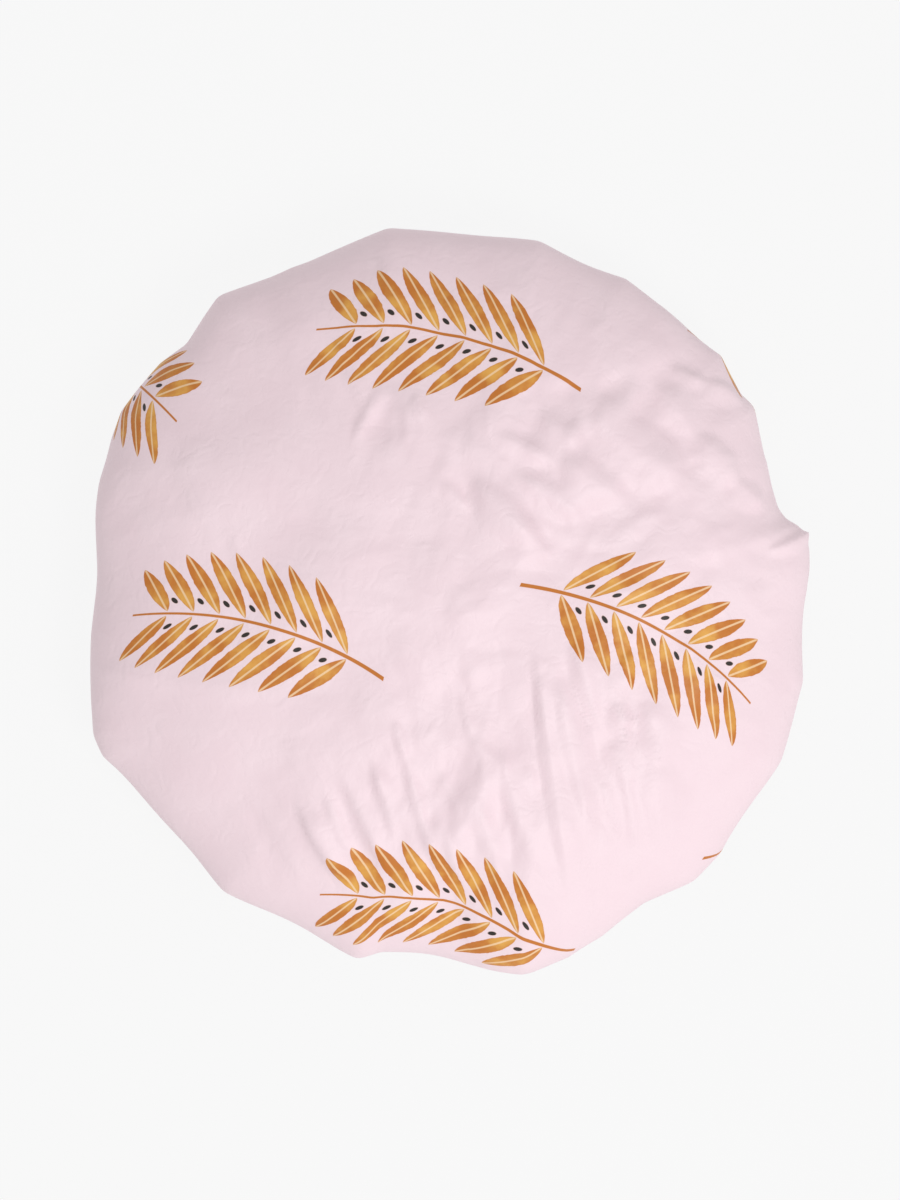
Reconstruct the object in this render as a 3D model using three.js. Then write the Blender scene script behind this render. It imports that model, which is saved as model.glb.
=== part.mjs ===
// Shower cap: a round cover of waterproof fabric and a thin lining, both gathered at the edge
// into a folded binding that holds an elastic band. The cap lies opening down, as on a table,
// with its crown standing puffed up. Millimetres, +Z up, origin on the table under the middle.
import * as THREE from "three";
import { mergeVertices } from "three/addons/utils/BufferGeometryUtils.js";

// Overall sizes of the cap as it lies
const CAP_WIDTH = 280;
const CAP_LENGTH = 289;
const CAP_HEIGHT = 76;
const WIDEST_HEIGHT = 27; // height of the ring where the cap is widest
const OPENING_DIAMETER = 122; // clear opening inside the relaxed hem

// Fabric layers
const COVER_WALL = 0.5;
const LINING_WALL = 0.35;
const BINDING_WALL = 0.5;
const LAYER_GAP = 0.3; // air between the cover and the lining
const FIT_GAP = 0.3; // air round everything that lies in or on the binding

// Elastic band, cut longer than its ring so that its two ends overlap
const ELASTIC_WIDTH = 8;
const ELASTIC_THICKNESS = 1.2;
const ELASTIC_OVERLAP = 16;
const OVERLAP_GAP = 0.5; // air between the two ends where they lie on each other
const ELASTIC_RAMP = 24; // length over which the upper end climbs on to the lower one

// Binding and its sewing
const FLANGE_WIDTH = 6; // flat edge of the binding, where the layers are sewn in
const SHOULDER_WIDTH = 1.6; // slope between the elastic's channel and the flange
const FOLD_RADIUS = 0.6; // rounding at the folded edge of the binding
const THREAD_DIAMETER = 0.5;
const TACK_PITCH = 2.4; // step of the zigzag that joins the elastic's ends
const TACK_REACH = 5; // width of that zigzag across the elastic

// Gathers, which run from the hem over the rim and die out on the crown
const GATHER_COUNT = 18;
const GATHER_DEPTH = 6; // on the underside of the cover
const PLEAT_DEPTH = 0.8; // of the same folds where they run up over the crown
const BINDING_BULGE = 1.2; // on the binding
const CROWN_FULLNESS = 2.3; // exponent of the crown's profile: 2 is an ellipse, more is squarer

// How far the rim stands out from a plain ellipse, as degrees round the cap from +X and mm
const RIM_FOLDS = [
  [3, 1],
  [17, -8],
  [31, -1],
  [47, 2],
  [62, -1],
  [76, 0],
  [99, 2],
  [113, -1],
  [127, 5],
  [137, -2],
  [161, 2],
  [180, -1],
  [205, 9],
  [219, 1],
  [232, 1],
  [244, -2],
  [257, 1],
  [272, -2],
  [292, 4],
  [303, -1],
  [312, 4],
  [335, 2],
];

// Main folds of the crown as seen from above: both ends as shares of half the width and half the
// length, how far the crest rises (less than 0 sinks) and how wide each flank is
const CROWN_FOLDS = [
  { from: [0.24, -0.16], to: [0.3, -0.78], rise: 2.6, flank: 9 },
  { from: [0.44, -0.14], to: [0.46, -0.4], rise: 1.8, flank: 9 },
  { from: [0.55, -0.26], to: [0.54, -0.66], rise: 2, flank: 9 },
  { from: [-0.37, -0.52], to: [-0.26, -0.77], rise: 2, flank: 9 },
  { from: [-0.13, -0.38], to: [0, -0.76], rise: 2, flank: 9 },
  { from: [0.3, 0.42], to: [0.44, 0.26], rise: 2.4, flank: 9 },
  { from: [0.07, 0.33], to: [0.22, 0.12], rise: 2.4, flank: 9 },
  { from: [0.44, 0.46], to: [0.59, 0.3], rise: 2.6, flank: 10 },
  { from: [0.44, 0.58], to: [0.46, 0.47], rise: -2, flank: 9 },
  { from: [0.86, 0.19], to: [0.85, -0.03], rise: -2.6, flank: 9 },
  { from: [-0.98, -0.19], to: [-0.51, -0.25], rise: 1.6, flank: 9 },
];

// Steps of the faceted surfaces
const STEPS_PER_GATHER = 4;
const ROUND_STEPS = GATHER_COUNT * STEPS_PER_GATHER;
const CLOTH_STEPS = GATHER_COUNT * 3; // round the cover and the lining
const CROWN_RINGS = 7;
const UNDER_RINGS = 3;
const TOP_CROWDING = 1.15; // more than 1 draws the crown's rings together at the top
const RIM_CROWDING = 1.4; // the same for the rings underneath, at the rim, where the bend is
const THREAD_SIDES = 5;

const FULL_TURN = 2 * Math.PI;
const BACK_ANGLE = Math.PI / 2; // the elastic and the binding are joined at the back, at +Y

// The binding's section, worked out from what lies in it
const thread = THREAD_DIAMETER + FIT_GAP;
const flangeBottom = thread + FIT_GAP; // the sewing under the flange stays off the table
const slotHeight = FIT_GAP + COVER_WALL + LAYER_GAP + LINING_WALL + FIT_GAP;
const flangeTop = flangeBottom + 2 * BINDING_WALL + slotHeight;
const channelWidth = ELASTIC_WIDTH + 2 * FIT_GAP;
const channelHeight = 2 * ELASTIC_THICKNESS + OVERLAP_GAP + thread + 2 * FIT_GAP;
const channelTop = BINDING_WALL + channelHeight;
const tubeTop = channelTop + BINDING_WALL;
const hemInner = OPENING_DIAMETER / 2 + BINDING_BULGE;
const channelInner = hemInner + BINDING_WALL;
const channelOuter = channelInner + channelWidth;
const flangeInner = channelOuter + SHOULDER_WIDTH;
const flangeOuter = flangeInner + FLANGE_WIDTH;
const sewingRadius = (flangeInner + flangeOuter) / 2;
const layerEdge = channelOuter + FIT_GAP; // where the cover and the lining end, inside the slot
const coverBottom = flangeBottom + BINDING_WALL + FIT_GAP;

/** A point at a radius, an angle round the cap and a height. */
function around(radius, angle, height) {
  return new THREE.Vector3(radius * Math.cos(angle), radius * Math.sin(angle), height);
}

/** A wave that is 1 on the top of each gather and 0 between two of them. */
function gatherWave(angle) {
  return 0.5 + 0.5 * Math.cos(GATHER_COUNT * (angle - BACK_ANGLE));
}

/** How far the rim's folds stand out at an angle, eased between the hand-set places. */
function rimFold(angle) {
  const degrees = THREE.MathUtils.euclideanModulo(THREE.MathUtils.radToDeg(angle), 360);
  const last = RIM_FOLDS.length - 1;
  let before = [RIM_FOLDS[last][0] - 360, RIM_FOLDS[last][1]];
  for (const place of [...RIM_FOLDS, [RIM_FOLDS[0][0] + 360, RIM_FOLDS[0][1]]]) {
    if (degrees <= place[0]) {
      const share = (degrees - before[0]) / (place[0] - before[0]);
      return THREE.MathUtils.lerp(before[1], place[1], share);
    }
    before = place;
  }
  return before[1];
}

/** Radius of the cap's widest ring at an angle. */
function rimRadius(angle) {
  const across = Math.cos(angle) / (CAP_WIDTH / 2);
  const along = Math.sin(angle) / (CAP_LENGTH / 2);
  return 1 / Math.hypot(across, along) + rimFold(angle);
}

/** Middle of the rim's box, so that the cap can be centred over the origin. */
function rimMiddle() {
  const box = new THREE.Box2();
  for (let i = 0; i < CLOTH_STEPS; i++) {
    const angle = (i / CLOTH_STEPS) * FULL_TURN;
    const radius = rimRadius(angle);
    box.expandByPoint(new THREE.Vector2(radius * Math.cos(angle), radius * Math.sin(angle)));
  }
  return box.getCenter(new THREE.Vector2());
}

const middle = rimMiddle();

/** How far the crown's folds lift a place on it. */
function foldLift(x, y) {
  let lift = 0;
  for (const { from, to, rise, flank } of CROWN_FOLDS) {
    const start = new THREE.Vector2((from[0] * CAP_WIDTH) / 2, (from[1] * CAP_LENGTH) / 2);
    const run = new THREE.Vector2((to[0] * CAP_WIDTH) / 2, (to[1] * CAP_LENGTH) / 2).sub(start);
    const place = new THREE.Vector2(x, y).sub(start);
    const share = place.dot(run) / run.lengthSq();
    const off = place.cross(run) / run.length();
    const fadeIn = THREE.MathUtils.smoothstep(share, -0.1, 0.3);
    const fadeOut = 1 - THREE.MathUtils.smoothstep(share, 0.7, 1.1);
    lift += rise * fadeIn * fadeOut * Math.exp(-Math.pow(off / flank, 2));
  }
  return lift;
}

/** A point of the cover's outer face on the crown, from the top (0) to the rim (1). */
function crownPoint(share, angle) {
  const turn = (share * Math.PI) / 2;
  const power = 2 / CROWN_FULLNESS;
  const out = Math.pow(Math.sin(turn), power);
  const up = Math.pow(Math.max(Math.cos(turn), 0), power);
  const radius = out * rimRadius(angle);
  const drop = PLEAT_DEPTH * (1 - gatherWave(angle)) * out * out * up;
  const x = radius * Math.cos(angle) - middle.x * out;
  const y = radius * Math.sin(angle) - middle.y * out;
  const lift = foldLift(x, y) * Math.min(1, 2 * up); // the rim itself stays level
  return new THREE.Vector3(x, y, WIDEST_HEIGHT + (CAP_HEIGHT - WIDEST_HEIGHT) * up - drop + lift);
}

/** A point of the cover's outer face underneath, from the rim (0) to the edge of the binding (1). */
function underPoint(share, angle) {
  const turn = (share * Math.PI) / 2;
  const out = Math.cos(turn);
  const rim = crownPoint(1, angle);
  const lift = GATHER_DEPTH * gatherWave(angle) * Math.sin(2 * turn);
  return new THREE.Vector3(
    THREE.MathUtils.lerp(flangeOuter * Math.cos(angle), rim.x, out),
    THREE.MathUtils.lerp(flangeOuter * Math.sin(angle), rim.y, out),
    coverBottom + (WIDEST_HEIGHT - coverBottom) * (1 - Math.sin(turn)) + lift,
  );
}

/** A geometry from its points and triangles, with shared points merged. */
function geometryOf(points, triangles) {
  const geometry = new THREE.BufferGeometry();
  geometry.setAttribute("position", new THREE.Float32BufferAttribute(points.flatMap((p) => p.toArray()), 3));
  geometry.setIndex(triangles);
  const merged = mergeVertices(geometry);
  merged.computeVertexNormals();
  return merged;
}

/** Triangles between two neighbouring rings of the same number of points. */
function ringBand(first, second, count) {
  const triangles = [];
  for (let i = 0; i < count; i++) {
    const next = (i + 1) % count;
    triangles.push(first + i, second + i, second + next, first + i, second + next, first + next);
  }
  return triangles;
}

/** Rings of the cover's outer face, from the one next to the top down to the edge in the binding. */
function coverRings() {
  const rings = [];
  const angles = Array.from({ length: CLOTH_STEPS }, (_, i) => (i / CLOTH_STEPS) * FULL_TURN);
  for (let k = 1; k <= CROWN_RINGS; k++) {
    const share = Math.pow(k / CROWN_RINGS, TOP_CROWDING);
    rings.push(angles.map((angle) => crownPoint(share, angle)));
  }
  for (let k = 1; k <= UNDER_RINGS; k++) {
    const share = Math.pow(k / UNDER_RINGS, RIM_CROWDING);
    rings.push(angles.map((angle) => underPoint(share, angle)));
  }
  rings.push(angles.map((angle) => around(layerEdge, angle, coverBottom)));
  return rings;
}

/** The cover's outer face as an open surface, with its normals. */
function coverFace() {
  const rings = coverRings();
  const points = [new THREE.Vector3(0, 0, CAP_HEIGHT), ...rings.flat()];
  const triangles = [];
  for (let i = 0; i < CLOTH_STEPS; i++) {
    triangles.push(0, 1 + i, 1 + ((i + 1) % CLOTH_STEPS));
  }
  for (let k = 0; k + 1 < rings.length; k++) {
    triangles.push(...ringBand(1 + k * CLOTH_STEPS, 1 + (k + 1) * CLOTH_STEPS, CLOTH_STEPS));
  }
  return { points, triangles, normals: faceNormals(points, triangles) };
}

/** Normals at the points of a surface, weighted by the size of the faces round each point. */
function faceNormals(points, triangles) {
  const geometry = new THREE.BufferGeometry();
  geometry.setAttribute("position", new THREE.Float32BufferAttribute(points.flatMap((p) => p.toArray()), 3));
  geometry.setIndex(triangles);
  geometry.computeVertexNormals();
  const normal = geometry.getAttribute("normal");
  return points.map((_, i) => new THREE.Vector3().fromBufferAttribute(normal, i));
}

/** A closed shell of fabric that lies between two depths under the cover's outer face. */
function fabricLayer(face, depth, wall) {
  const sunk = (distance) => (point, i) => point.clone().addScaledVector(face.normals[i], -distance);
  const count = face.points.length;
  const points = [...face.points.map(sunk(depth)), ...face.points.map(sunk(depth + wall))];
  const inside = [];
  for (let i = 0; i < face.triangles.length; i += 3) {
    const [a, b, c] = face.triangles.slice(i, i + 3);
    inside.push(count + a, count + c, count + b);
  }
  const rim = count - CLOTH_STEPS;
  return geometryOf(points, [...face.triangles, ...inside, ...ringBand(rim, count + rim, CLOTH_STEPS)]);
}

/** The binding's section at one place round the hem: the outer outline, then back along the inside. */
function bindingSection(bulge) {
  const fold = hemInner - bulge;
  const foldInside = channelInner - bulge;
  const shoulderInside = FOLD_RADIUS / 2;
  return [
    [flangeOuter, flangeBottom],
    [flangeInner, flangeBottom],
    [channelOuter, 0],
    [fold + FOLD_RADIUS, 0],
    [fold, FOLD_RADIUS],
    [fold, tubeTop + bulge - FOLD_RADIUS],
    [fold + FOLD_RADIUS, tubeTop + bulge],
    [channelOuter, tubeTop + bulge],
    [flangeInner, flangeTop],
    [flangeOuter, flangeTop],
    [flangeOuter, flangeTop - BINDING_WALL],
    [flangeInner - shoulderInside, flangeTop - BINDING_WALL],
    [channelOuter - shoulderInside, channelTop + bulge],
    [foldInside, channelTop + bulge],
    [foldInside, BINDING_WALL],
    [channelOuter, BINDING_WALL],
    [flangeInner, flangeBottom + BINDING_WALL],
    [flangeOuter, flangeBottom + BINDING_WALL],
  ];
}

/** A ring of sections, one for each step round the cap, closed on itself. */
function hemBinding() {
  const points = [];
  const triangles = [];
  const side = bindingSection(0).length;
  for (let i = 0; i < ROUND_STEPS; i++) {
    const angle = (i / ROUND_STEPS) * FULL_TURN;
    for (const [radius, height] of bindingSection(BINDING_BULGE * gatherWave(angle))) {
      points.push(around(radius, angle, height));
    }
    triangles.push(...ringBand(((i + 1) % ROUND_STEPS) * side, i * side, side));
  }
  return geometryOf(points, triangles);
}

/** The elastic: a flat strip round the channel, whose end climbs over its beginning. */
function elasticBand() {
  const radius = channelInner + FIT_GAP + ELASTIC_WIDTH / 2;
  const overlap = ELASTIC_OVERLAP / radius;
  const ramp = ELASTIC_RAMP / radius;
  const start = BACK_ANGLE - overlap / 2;
  const sweep = FULL_TURN + overlap;
  const low = BINDING_WALL + FIT_GAP;
  const climb = ELASTIC_THICKNESS + OVERLAP_GAP;
  const points = [];
  const triangles = [];
  for (let i = 0; i <= ROUND_STEPS; i++) {
    const turned = (i / ROUND_STEPS) * sweep;
    const share = THREE.MathUtils.smoothstep(turned, FULL_TURN - ramp, FULL_TURN - overlap / 4);
    const bottom = low + climb * share;
    const section = [
      [radius - ELASTIC_WIDTH / 2, bottom],
      [radius - ELASTIC_WIDTH / 2, bottom + ELASTIC_THICKNESS],
      [radius + ELASTIC_WIDTH / 2, bottom + ELASTIC_THICKNESS],
      [radius + ELASTIC_WIDTH / 2, bottom],
    ];
    const angle = start + turned;
    points.push(...section.map(([reach, height]) => around(reach, angle, height)));
    if (i > 0) {
      triangles.push(...ringBand(4 * i, 4 * (i - 1), 4));
    }
  }
  const last = 4 * ROUND_STEPS;
  triangles.push(0, 2, 1, 0, 3, 2, last, last + 1, last + 2, last, last + 2, last + 3);
  return geometryOf(points, triangles);
}

/** A thread along straight stretches that lie in one plane, mitred where they meet. */
function threadAlong(route, planeNormal) {
  const radius = THREAD_DIAMETER / 2;
  const points = [];
  const triangles = [];
  route.forEach((place, i) => {
    const ahead = route[Math.min(i + 1, route.length - 1)].clone().sub(route[Math.min(i, route.length - 2)]);
    const behind = route[Math.max(i, 1)].clone().sub(route[Math.max(i - 1, 0)]);
    const along = ahead.normalize().add(behind.normalize()).normalize();
    const mitre = 1 / along.dot(behind);
    const aside = new THREE.Vector3().crossVectors(planeNormal, along);
    for (let k = 0; k < THREAD_SIDES; k++) {
      const turn = (k / THREAD_SIDES) * FULL_TURN;
      const corner = place.clone().addScaledVector(aside, radius * mitre * Math.cos(turn));
      points.push(corner.addScaledVector(planeNormal, radius * Math.sin(turn)));
    }
    if (i > 0) {
      triangles.push(...ringBand(i * THREAD_SIDES, (i - 1) * THREAD_SIDES, THREAD_SIDES));
    }
  });
  const last = THREAD_SIDES * (route.length - 1);
  for (let k = 1; k + 1 < THREAD_SIDES; k++) {
    triangles.push(0, k + 1, k, last, last + k, last + k + 1);
  }
  return geometryOf(points, triangles);
}

/** The zigzag that sews the elastic's ends together, on top of the overlap. */
function elasticTack() {
  const radius = channelInner + FIT_GAP + ELASTIC_WIDTH / 2;
  const top = BINDING_WALL + FIT_GAP + 2 * ELASTIC_THICKNESS + OVERLAP_GAP;
  const height = top + FIT_GAP + THREAD_DIAMETER / 2;
  const turns = Math.max(2, Math.floor(ELASTIC_OVERLAP / 2 / TACK_PITCH));
  const points = [];
  for (let i = 0; i <= turns; i++) {
    const along = (i - turns / 2) * TACK_PITCH;
    const across = (i % 2 ? 0.5 : -0.5) * TACK_REACH;
    points.push(new THREE.Vector3(along, radius + across, height));
  }
  return threadAlong(points, new THREE.Vector3(0, 0, 1));
}

/** The row of thread across the hem where the binding's two ends meet. */
function bindingEndSeam() {
  const lift = FIT_GAP + THREAD_DIAMETER / 2;
  const over = tubeTop + BINDING_BULGE + lift;
  const route = [
    new THREE.Vector3(0, hemInner, over),
    new THREE.Vector3(0, channelOuter + lift / 2, over),
    new THREE.Vector3(0, flangeInner + lift, flangeTop + lift),
    new THREE.Vector3(0, sewingRadius - thread, flangeTop + lift),
  ];
  return threadAlong(route, new THREE.Vector3(1, 0, 0));
}

/** A row of sewing round the flange, at a height. */
function sewingRow(height) {
  const row = new THREE.TorusGeometry(sewingRadius, THREAD_DIAMETER / 2, THREAD_SIDES, ROUND_STEPS);
  return row.translate(0, 0, height);
}

const fabric = {
  cover: new THREE.MeshStandardMaterial({ color: 0xecd6dd, roughness: 0.45, metalness: 0 }),
  lining: new THREE.MeshStandardMaterial({ color: 0xf4eff0, roughness: 0.35, metalness: 0 }),
  binding: new THREE.MeshStandardMaterial({ color: 0xe6cbd4, roughness: 0.55, metalness: 0 }),
  elastic: new THREE.MeshStandardMaterial({ color: 0xf2f0ec, roughness: 0.85, metalness: 0 }),
  thread: new THREE.MeshStandardMaterial({ color: 0xe3c3cd, roughness: 0.6, metalness: 0 }),
};

/** A named piece of the cap. */
function piece(name, geometry, material) {
  const mesh = new THREE.Mesh(geometry, material);
  mesh.name = name;
  return mesh;
}

const face = coverFace();
const sewingLift = FIT_GAP + THREAD_DIAMETER / 2;
const cap = new THREE.Group();
cap.add(
  piece("outer_cover", fabricLayer(face, 0, COVER_WALL), fabric.cover),
  piece("inner_lining", fabricLayer(face, COVER_WALL + LAYER_GAP, LINING_WALL), fabric.lining),
  piece("hem_binding", hemBinding(), fabric.binding),
  piece("elastic_band", elasticBand(), fabric.elastic),
  piece("elastic_join_tack", elasticTack(), fabric.thread),
  piece("hem_needle_thread", sewingRow(flangeBottom - sewingLift), fabric.thread),
  piece("hem_bobbin_thread", sewingRow(flangeTop + sewingLift), fabric.thread),
  piece("binding_end_seam", bindingEndSeam(), fabric.thread),
);

export default cap;
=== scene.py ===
"""A lined shower cap, lying on a table with its opening down, seen from straight above.

Each piece of cloth is cut flat first, as on a table, and then formed: the cover and the lining are
discs whose edge is gathered into the binding, and their folds are real shape in the mesh.
"""

import logging
import math
from dataclasses import dataclass
from enum import Enum
from typing import Any, Sequence

import bpy
import numpy as np
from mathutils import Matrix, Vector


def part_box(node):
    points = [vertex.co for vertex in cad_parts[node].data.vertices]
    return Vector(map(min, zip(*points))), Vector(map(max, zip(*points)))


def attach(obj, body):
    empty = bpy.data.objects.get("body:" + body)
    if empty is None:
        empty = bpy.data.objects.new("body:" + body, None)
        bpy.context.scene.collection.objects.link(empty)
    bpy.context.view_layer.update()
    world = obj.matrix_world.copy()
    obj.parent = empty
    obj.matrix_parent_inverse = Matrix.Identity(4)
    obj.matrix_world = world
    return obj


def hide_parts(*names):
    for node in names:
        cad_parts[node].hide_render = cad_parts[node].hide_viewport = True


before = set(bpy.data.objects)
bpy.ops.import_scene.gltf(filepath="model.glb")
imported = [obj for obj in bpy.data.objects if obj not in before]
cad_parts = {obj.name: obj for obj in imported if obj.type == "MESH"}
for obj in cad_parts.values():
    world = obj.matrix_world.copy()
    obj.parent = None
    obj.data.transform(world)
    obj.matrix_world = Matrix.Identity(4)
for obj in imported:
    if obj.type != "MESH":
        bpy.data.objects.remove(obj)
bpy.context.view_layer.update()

log = logging.getLogger("shower_cap")

MM = 0.001
ROOT = "root"
CLOTH_UV = "cloth"
CROWDING = 0.11  # how far a cloth's net is drawn together where the folds are
TUCK = 6.5  # how far the cloth's cut edge reaches into the binding, mm
CREST_ROOM = (1.3, 0.8)  # room that the rim's crests need across and along the cap, mm

Array = np.ndarray
Point = tuple[float, float]
Socket = bpy.types.NodeSocket


def smooth(value: Array | float) -> Array:
    """Ease a value from 0 to 1.

    Args:
        value: A value or an array, which is cut to the range 0 to 1.

    Returns:
        The eased value, with no slope at either end.
    """
    share = np.clip(value, 0.0, 1.0)
    return share * share * (3.0 - 2.0 * share)


def swell(value: Array, start: float, peak: float, end: float) -> Array:
    """Rise from 0 at start to 1 at peak, and fall to 0 again at end.

    Args:
        value: The places at which to take the swell.
        start: Where it starts to rise.
        peak: Where it is highest.
        end: Where it has died out.

    Returns:
        The swell at each place, from 0 to 1.
    """
    return smooth((value - start) / (peak - start)) * smooth((end - value) / (end - peak))


def node_radii(node: str) -> tuple[float, float]:
    """Measure how near to the cap's axis, and how far from it, a construction solid reaches.

    Args:
        node: The solid's name.

    Returns:
        Its least and its greatest radius in metres.
    """
    reach = [math.hypot(v.co.x, v.co.y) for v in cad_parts[node].data.vertices]
    return min(reach), max(reach)


class Slot(Enum):
    """The record's material slots."""

    COVER = "cover_fabric"
    LINING = "lining_film"
    BINDING = "binding_tape"
    ELASTIC = "braided_elastic"
    THREAD = "sewing_thread"


class Side(Enum):
    """The two faces of the hem that carry sewing."""

    UNDER = -1
    UPPER = 1


def pick_only(piece: bpy.types.Object) -> None:
    """Select one object alone and make it the active one.

    Args:
        piece: The object.
    """
    bpy.ops.object.select_all(action="DESELECT")
    piece.select_set(True)
    bpy.context.view_layer.objects.active = piece


def read_points(piece: bpy.types.Object) -> Array:
    """Read the points of a mesh object.

    Args:
        piece: The object.

    Returns:
        Its points, as rows of x, y and z.
    """
    points = np.zeros(len(piece.data.vertices) * 3)
    piece.data.vertices.foreach_get("co", points)
    return points.reshape(-1, 3)


def write_points(piece: bpy.types.Object, points: Array) -> None:
    """Move the points of a mesh object to new places."""
    piece.data.vertices.foreach_set("co", points.astype(np.float32).ravel())
    piece.data.update()


def apply_modifier(piece: bpy.types.Object, kind: str, **settings: Any) -> None:
    """Add a modifier to a piece and apply it at once.

    Args:
        piece: The object that gets it.
        kind: The modifier's type.
        settings: The modifier's own settings.
    """
    pick_only(piece)
    modifier = piece.modifiers.new(kind.title(), kind)
    for name, value in settings.items():
        setattr(modifier, name, value)
    bpy.ops.object.modifier_apply(modifier=modifier.name)


def finish_piece(piece: bpy.types.Object, node: str, material: bpy.types.Material) -> None:
    """Smooth a piece, give it its material and let it stand for its construction solid.

    Args:
        piece: The finished object.
        node: The construction solid that it replaces.
        material: The material that covers it.
    """
    pick_only(piece)
    bpy.ops.object.shade_smooth()
    piece.data.materials.clear()
    piece.data.materials.append(material)
    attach(piece, ROOT)
    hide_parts(node)
    log.info("%s: %d faces, for %s", piece.name, len(piece.data.polygons), node)


@dataclass(frozen=True)
class RimOutline:
    """The cap's edge as seen from above: straight runs between the corners of its folds, in mm."""

    corners: tuple[Point, ...] = (
        (140, 11), (139, 20), (136, 27), (131, 30), (128, 35), (119, 75), (114, 80), (107, 96),
        (98, 102), (80, 116), (69, 126), (54, 132), (35, 140), (-24, 145), (-90, 118), (-102, 99), (-113, 92),
        (-123, 82), (-130, 74), (-134, 63), (-137, 44), (-139, 16), (-140, -14), (-139, -54), (-136, -63),
        (-100, -102), (-88, -115), (-36, -141), (-27, -139), (12, -144), (31, -145), (47, -141),
        (60, -134), (76, -120), (84, -116), (95, -111), (106, -101), (115, -86), (128, -64),
        (136, -39), (138, -33),
    )
    softness: float = 0.5  # degrees over which a corner is rounded

    def radius(self, angle: Array, half: Point) -> Array:
        """Take the outline's radius at some angles.

        Args:
            angle: Angles round the cap from +X, in radians.
            half: Half the width and half the length that the outline has to fill, in metres.

        Returns:
            The radius at each angle, in metres.
        """
        corner = np.array(self.corners, float)
        corner -= (corner.max(0) + corner.min(0)) / 2
        corner *= np.array(half) / corner.max(0)
        turn = np.arctan2(corner[:, 1], corner[:, 0])
        order = np.argsort(turn)
        corner, turn = corner[order], turn[order]
        fine = np.radians(np.arange(-180.0, 180.0, 0.25))
        after = np.searchsorted(turn, fine) % len(turn)
        start, run = corner[after - 1], corner[after] - corner[after - 1]
        ray = np.stack([np.cos(fine), np.sin(fine)], 1)
        facing = ray[:, 0] * run[:, 1] - ray[:, 1] * run[:, 0]
        cut = (start[:, 0] * run[:, 1] - start[:, 1] * run[:, 0]) / facing
        spread = np.exp(-0.5 * (np.arange(-12, 13) * 0.25 / self.softness) ** 2)
        rounded = np.convolve(np.concatenate([cut[-12:], cut, cut[:12]]), spread / spread.sum(), "valid")
        return np.interp(angle, fine, rounded, period=math.tau)


@dataclass(frozen=True)
class CapForm:
    """The smooth form of the gathered cap, taken from the construction's own sizes, in metres."""

    half: Point  # half the width and half the length
    top: float  # height of the crown
    widest: float  # height of the ring where the cap is widest
    seat: float  # height at which the cover lies in the binding
    mouth: float  # radius at which the cover goes into the binding
    edge: float  # radius of the cloth's cut edge, inside the binding
    outline: RimOutline = RimOutline()
    fullness: float = 2.3  # exponent of the crown's profile: 2 is an ellipse, more is squarer
    corner_reach: float = 4.0  # the higher, the nearer to the rim the outline's corners stay

    @classmethod
    def measured(cls) -> "CapForm":
        """Measure the form on the construction's cover and binding.

        Returns:
            The form.
        """
        low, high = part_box("outer_cover")
        points = [v.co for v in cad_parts["outer_cover"].data.vertices]
        widest = max(points, key=lambda point: math.hypot(point.x, point.y)).z
        mouth = node_radii("hem_binding")[1]
        half = (high.x - low.x) / 2 - CREST_ROOM[0] * MM, (high.y - low.y) / 2 - CREST_ROOM[1] * MM
        return cls(half, high.z, widest, low.z, mouth, mouth - TUCK * MM)

    def along(self, station: Array, angle: Array) -> Array:
        """Find the points of the form.

        Args:
            station: 0 at the top, 1 at the rim, 2 where the binding begins, 3 at the cut edge.
            angle: Angles round the cap, in radians.

        Returns:
            The points, as rows of x, y and z.
        """
        plain = 1 / np.hypot(np.cos(angle) / self.half[0], np.sin(angle) / self.half[1])
        corner = self.outline.radius(angle, self.half) - plain
        turn = np.clip(station, 0, 1) * math.pi / 2
        out = np.sin(turn) ** (2 / self.fullness)
        up = np.clip(np.cos(turn), 0, 1) ** (2 / self.fullness)
        below = np.clip(station - 1, 0, 1) * math.pi / 2
        inward = np.cos(below)
        crown = out * (plain + corner * out**self.corner_reach)
        under = self.mouth + (plain + corner * inward**2 - self.mouth) * inward
        slot = self.mouth + (self.edge - self.mouth) * (station - 2)
        radius = np.where(station <= 1, crown, np.where(station <= 2, under, slot))
        dome = self.widest + (self.top - self.widest) * up
        belly = self.seat + (self.widest - self.seat) * (1 - np.sin(below))
        height = np.where(station <= 1, dome, belly)
        return np.stack([radius * np.cos(angle), radius * np.sin(angle), height], 1)

    def stations(self) -> tuple[Array, Array]:
        """Measure the form along the cloth.

        Returns:
            Lengths of cloth from the top, and the station that each of them reaches.
        """
        station = np.linspace(0, 3, 3001)
        lengths = []
        for angle in np.radians(np.arange(0, 360, 15)):
            line = self.along(station, np.full_like(station, angle))
            steps = np.linalg.norm(np.diff(line, axis=0), axis=1)
            lengths.append(np.concatenate([[0], np.cumsum(steps)]))
        return np.mean(lengths, 0), station


LIGHT_SIDE = np.array([0.62, -0.78])  # the side that the soft key light stands on


class Crest(Enum):
    """How the flanks of a fold fall away from its crest."""

    ROUND = "round"
    CREASE = "crease"

    def profile(self, off: Array) -> Array:
        """Find the height of a fold across it.

        Args:
            off: Distances from the crest, in widths of the flank.

        Returns:
            The height, 1 on the crest: a soft swell, or two flat facets.
        """
        if self is Crest.ROUND:
            return np.exp(-np.abs(off) ** 1.6)
        return np.clip(1 - np.abs(off) / 1.5, 0, 1)


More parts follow.
